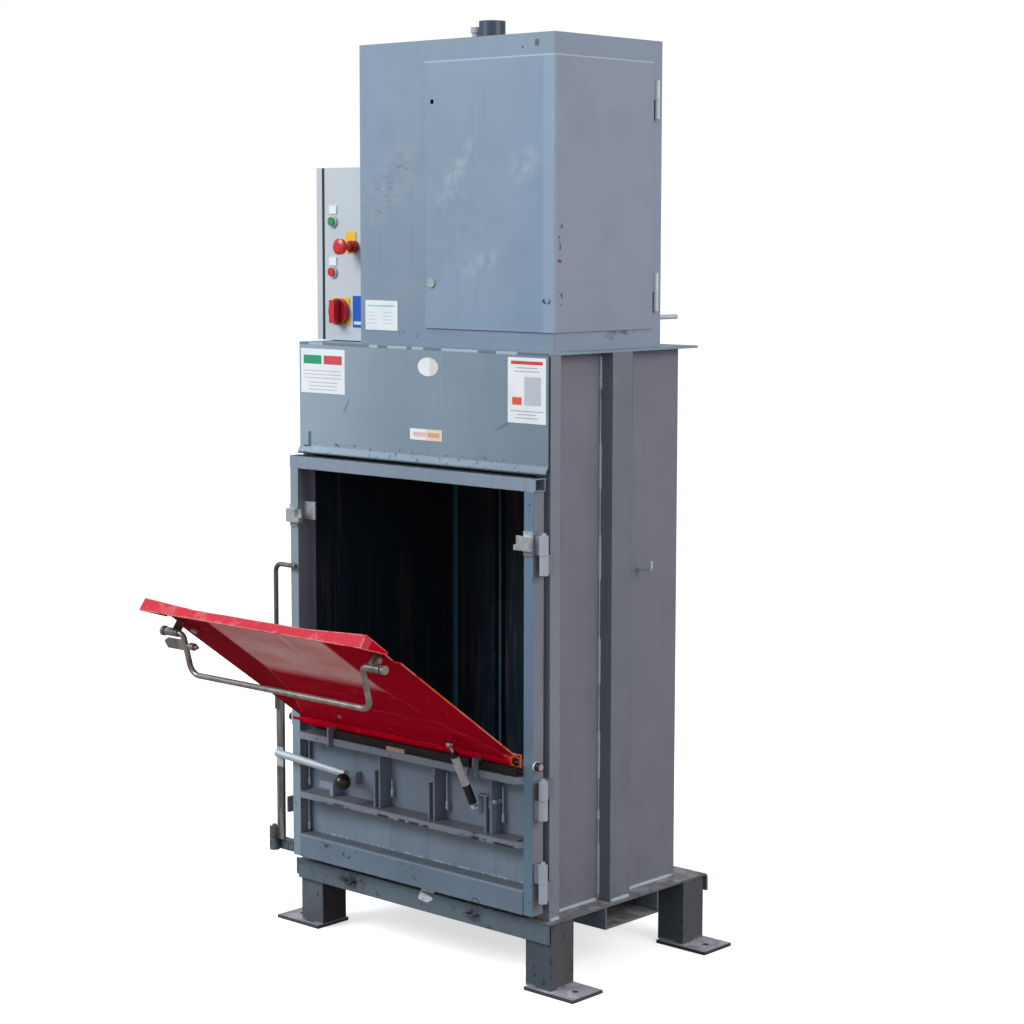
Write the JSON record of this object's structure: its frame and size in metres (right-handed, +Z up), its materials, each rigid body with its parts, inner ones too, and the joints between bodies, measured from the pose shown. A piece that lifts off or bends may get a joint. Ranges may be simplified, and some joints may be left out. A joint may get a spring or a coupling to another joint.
{
  "type": "recycling baler",
  "caption": "Upright recycling baler with a press chamber, side-hung bale door, tilting feed flap, lock bar, hydraulic ram cabinet and control box on square legs.",
  "frame": {"origin": "on the floor, at the centre of the four anchor holes", "axes": "+X to the right seen from the front, +Y to the back, +Z up"},
  "size_m": [1.024, 1.1537, 2.294],
  "materials": {
    "grey_paint": "satin",
    "light_grey_paint": "satin",
    "red_paint": "satin",
    "zinc": "satin",
    "chrome_rod": "polished",
    "black_paint": "satin",
    "black_plastic": "gloss",
    "rubber": "matte",
    "yellow_plastic": "matte",
    "red_plastic": "gloss",
    "green_plastic": "gloss",
    "blue_plastic": "matte",
    "tan_block": "matte",
    "motor_blue": "satin"
  },
  "bodies": {
    "frame": {"back_wall": "grey_paint", "base_plate": "grey_paint", "blue_plate": "blue_plastic", "button_bezels": "black_plastic", "cabinet_shell": "light_grey_paint", "corner_posts": "grey_paint", "cylinder_barrel": "black_paint", "cylinder_cap": "black_paint", "door_hinge_bases": "grey_paint", "enclosure_body": "light_grey_paint", "enclosure_seal": "rubber", "foot_plates": "grey_paint", "fork_channel": "grey_paint", "hood": "light_grey_paint", "hoses": "rubber", "label_plates": "zinc", "legs": "grey_paint", "lock_keeper": "zinc", "oil_tank": "black_paint", "pump_motor": "motor_blue", "rods_and_loops": "zinc", "side_columns": "grey_paint", "side_walls": "grey_paint", "strap_guides": "grey_paint", "top_plate": "grey_paint", "valve_block": "zinc", "yellow_plates": "yellow_plastic"},
    "ram": {"platen": "grey_paint", "ram_rod": "chrome_rod"},
    "bale_door": {"door_uprights": "grey_paint", "door_top_bar": "grey_paint", "door_sill": "grey_paint", "door_panel": "grey_paint", "door_rails": "grey_paint", "door_ribs": "grey_paint", "rubber_strip": "rubber", "stop_block": "tan_block", "door_hinge_leaves": "grey_paint", "door_catches": "zinc", "door_brackets": "grey_paint", "door_bolts": "zinc", "wire_guide": "zinc", "lock_bracket": "zinc"},
    "flap": {"flap_panel": "red_paint", "flap_pivot_tube": "red_paint", "flap_latches": "zinc", "flap_fittings": "zinc"},
    "handle": {"flap_handle": "zinc"},
    "spring_tube": {"gas_spring_tube": "black_paint"},
    "spring_rod": {"gas_spring_rod": "chrome_rod"},
    "lock_bar": {"lock_bar": "zinc", "lever_knob": "black_plastic"},
    "cabinet_door": {"cabinet_door": "light_grey_paint"},
    "cabinet_lock": {"cabinet_lock": "zinc"},
    "enclosure_door": {"enclosure_door": "light_grey_paint"},
    "enclosure_lock": {"enclosure_lock": "zinc"},
    "green_button": {"green_button": "green_plastic"},
    "red_button": {"red_button": "red_plastic"},
    "stop_head": {"stop_head": "red_plastic"},
    "main_switch": {"main_switch": "red_plastic"}
  },
  "joints": [
    {"name": "ram_slide", "type": "slide", "parent": "frame", "child": "ram", "axis": [0, 0, -1], "range_m": [0, 0.6]},
    {"name": "bale_door_hinge", "type": "hinge", "parent": "frame", "child": "bale_door", "pos_m": [0.435, -0.32, 0.7], "axis": [0, 0, 1], "range_deg": [0, 110]},
    {"name": "flap_hinge", "type": "hinge", "parent": "bale_door", "child": "flap", "pos_m": [0, -0.321, 0.55], "axis": [1, 0, 0], "range_deg": [-54.1, 0]},
    {"name": "handle_swing", "type": "hinge", "parent": "flap", "child": "handle", "pos_m": [0, -0.77188, 0.83441], "axis": [1, 0, 0], "range_deg": [-100, 39]},
    {"name": "spring_foot", "type": "hinge", "parent": "bale_door", "child": "spring_tube", "pos_m": [0.235, -0.34, 0.427], "axis": [1, 0, 0], "range_deg": [-25.18, 0]},
    {"name": "spring_slide", "type": "slide", "parent": "spring_tube", "child": "spring_rod", "axis": [0, -0.4519, 0.892], "range_m": [0, 0.0461]},
    {"name": "lock_bar_hinge", "type": "hinge", "parent": "bale_door", "child": "lock_bar", "pos_m": [-0.472, -0.345, 0.24], "axis": [0, 0, 1], "range_deg": [-100, 0]},
    {"name": "cabinet_door_hinge", "type": "hinge", "parent": "frame", "child": "cabinet_door", "pos_m": [0.398, 0.123, 1.8], "axis": [0, 0, 1], "range_deg": [0, 105]},
    {"name": "cabinet_lock_turn", "type": "hinge", "parent": "cabinet_door", "child": "cabinet_lock", "pos_m": [0, -0.243, 1.66], "axis": [0, 1, 0], "range_deg": [0, 90]},
    {"name": "enclosure_door_hinge", "type": "hinge", "parent": "frame", "child": "enclosure_door", "pos_m": [-0.436, 0.104, 1.7], "axis": [0, 0, 1], "range_deg": [-105, 0]},
    {"name": "enclosure_lock_turn", "type": "hinge", "parent": "enclosure_door", "child": "enclosure_lock", "pos_m": [-0.451, -0.18, 1.725], "axis": [1, 0, 0], "range_deg": [0, 90]},
    {"name": "green_button_press", "type": "slide", "parent": "frame", "child": "green_button", "axis": [0, 1, 0], "range_m": [0, 0.003], "stiffness_N_per_m": 400},
    {"name": "red_button_press", "type": "slide", "parent": "frame", "child": "red_button", "axis": [0, 1, 0], "range_m": [0, 0.003], "stiffness_N_per_m": 400},
    {"name": "stop_head_press", "type": "slide", "parent": "frame", "child": "stop_head", "axis": [0, 1, 0], "range_m": [0, 0.005], "stiffness_N_per_m": 800},
    {"name": "main_switch_turn", "type": "hinge", "parent": "frame", "child": "main_switch", "pos_m": [-0.363, -0.21, 1.581], "axis": [0, 1, 0], "range_deg": [0, 90]}
  ],
  "couplings": [
    {"joint": "spring_foot", "follows": "flap_hinge", "ratio": 0.4646},
    {"joint": "spring_slide", "follows": "flap_hinge", "m_per_rad": -0.04855}
  ]
}
